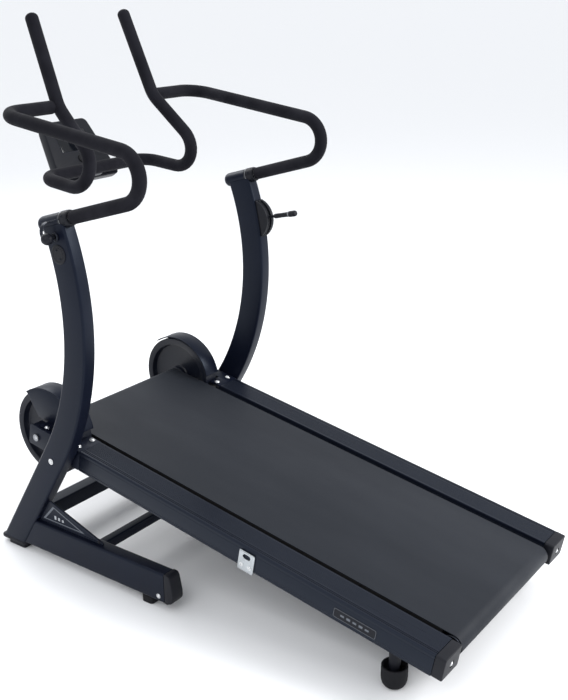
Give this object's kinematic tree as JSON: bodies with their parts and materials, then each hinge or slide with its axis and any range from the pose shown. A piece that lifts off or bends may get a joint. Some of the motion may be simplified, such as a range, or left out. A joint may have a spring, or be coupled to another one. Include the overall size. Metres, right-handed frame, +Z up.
{
  "type": "curved manual treadmill",
  "caption": "Folding manual treadmill: sloping belt deck with flywheels beside the front roller, hung between curved uprights with looped foam handles, horns and a console.",
  "frame": {"origin": "on the floor, in the middle of the machine's footprint", "axes": "+Y is the way the runner faces, +X the runner's right, +Z up"},
  "size_m": [0.7311, 1.3118, 1.2952],
  "materials": {
    "frame_paint": "black satin powder coat",
    "rail_alloy": "black satin coating",
    "black_plastic": "moulded, matt",
    "black_rubber": "matt",
    "foam": "matt foam with a fine skin",
    "bright_steel": "zinc plated",
    "cast_iron": "black paint",
    "board": "waxed fibreboard",
    "belt": "matt, fine texture",
    "window": "smoked, clear"
  },
  "bodies": {
    "stand": {"upright_left": "frame_paint", "upright_right": "frame_paint", "floor_tube_left": "frame_paint", "floor_tube_right": "frame_paint", "rear_end_cap_left": "black_plastic", "rear_end_cap_right": "black_plastic", "front_foot_cap_left": "black_rubber", "front_foot_cap_right": "black_rubber", "rear_pad_left": "black_rubber", "rear_pad_right": "black_rubber", "gusset_left": "frame_paint", "gusset_right": "frame_paint", "front_crossbar": "frame_paint", "rear_crossbar": "frame_paint", "sleeve_left": "frame_paint", "sleeve_right": "frame_paint", "collar_left": "black_plastic", "collar_right": "black_plastic", "handlebar_left": "bright_steel", "handlebar_right": "bright_steel", "handle_grip_left": "foam", "handle_grip_right": "foam", "horn_bar": "bright_steel", "horn_grip": "foam", "console_case": "black_plastic", "console_window": "window", "console_bracket": "frame_paint", "tension_housing": "black_plastic", "latch_bush": "bright_steel", "pivot_bolt_left": "bright_steel", "pivot_bolt_right": "bright_steel"},
    "deck": {"side_rail_left": "rail_alloy", "side_rail_right": "rail_alloy", "rail_cover_left": "black_plastic", "rail_cover_right": "black_plastic", "rail_end_cap_left": "black_plastic", "rail_end_cap_right": "black_plastic", "deck_board": "board", "running_belt": "belt", "front_crossmember": "frame_paint", "rear_crossmember": "frame_paint", "roller_bracket_left": "frame_paint", "roller_bracket_right": "frame_paint", "fender_left": "frame_paint", "fender_right": "frame_paint", "front_axle": "bright_steel", "rear_axle": "bright_steel", "catch_plate": "bright_steel", "foot_boss_left": "black_plastic", "foot_boss_right": "black_plastic"},
    "front_roller": {"front_roller": "bright_steel", "flywheel_left": "cast_iron", "flywheel_right": "cast_iron"},
    "rear_roller": {"rear_roller": "bright_steel"},
    "magnet_carrier": {"magnet_carrier": "bright_steel"},
    "tension_lever": {"tension_lever": "black_plastic"},
    "latch_pin": {"latch_pin": "black_plastic"},
    "mode_button": {"mode_button": "black_rubber"},
    "levelling_foot_left": {"levelling_foot_left": "black_rubber"},
    "levelling_foot_right": {"levelling_foot_right": "black_rubber"}
  },
  "joints": [
    {"name": "deck_fold", "type": "hinge", "parent": "stand", "child": "deck", "pos_m": [0.01675, 0.38168, 0.2816], "axis": [-1, 0, 0], "range_deg": [0, 91.2]},
    {"name": "front_roller_spin", "type": "hinge", "parent": "deck", "child": "front_roller", "pos_m": [0.01675, 0.47889, 0.30331], "axis": [1, 0, 0], "continuous": true},
    {"name": "rear_roller_spin", "type": "hinge", "parent": "deck", "child": "rear_roller", "pos_m": [0.01675, -0.62508, 0.10865], "axis": [1, 0, 0], "continuous": true},
    {"name": "tension_lever_turn", "type": "hinge", "parent": "stand", "child": "tension_lever", "pos_m": [0.34275, 0.23806, 0.77197], "axis": [1, 0, 0], "range_deg": [-30, 30]},
    {"name": "magnet_carrier_swing", "type": "hinge", "parent": "deck", "child": "magnet_carrier", "pos_m": [0.01675, 0.43428, 0.28275], "axis": [1, 0, 0], "range_deg": [-2, 2]},
    {"name": "latch_pin_slide", "type": "slide", "parent": "stand", "child": "latch_pin", "axis": [1, 0, 0], "range_m": [0, 0.0055]},
    {"name": "mode_button_press", "type": "slide", "parent": "stand", "child": "mode_button", "axis": [0, 0.8415, -0.5402], "range_m": [0, 0.0015], "stiffness_N_per_m": 300, "springref_m": -0.001},
    {"name": "levelling_foot_left_slide", "type": "slide", "parent": "deck", "child": "levelling_foot_left", "axis": [0, 0, -1], "range_m": [0, 0.015]},
    {"name": "levelling_foot_right_slide", "type": "slide", "parent": "deck", "child": "levelling_foot_right", "axis": [0, 0, -1], "range_m": [0, 0.015]}
  ],
  "couplings": [
    {"joint": "rear_roller_spin", "follows": "front_roller_spin", "ratio": 1},
    {"joint": "magnet_carrier_swing", "follows": "tension_lever_turn", "ratio": 0.066667}
  ]
}
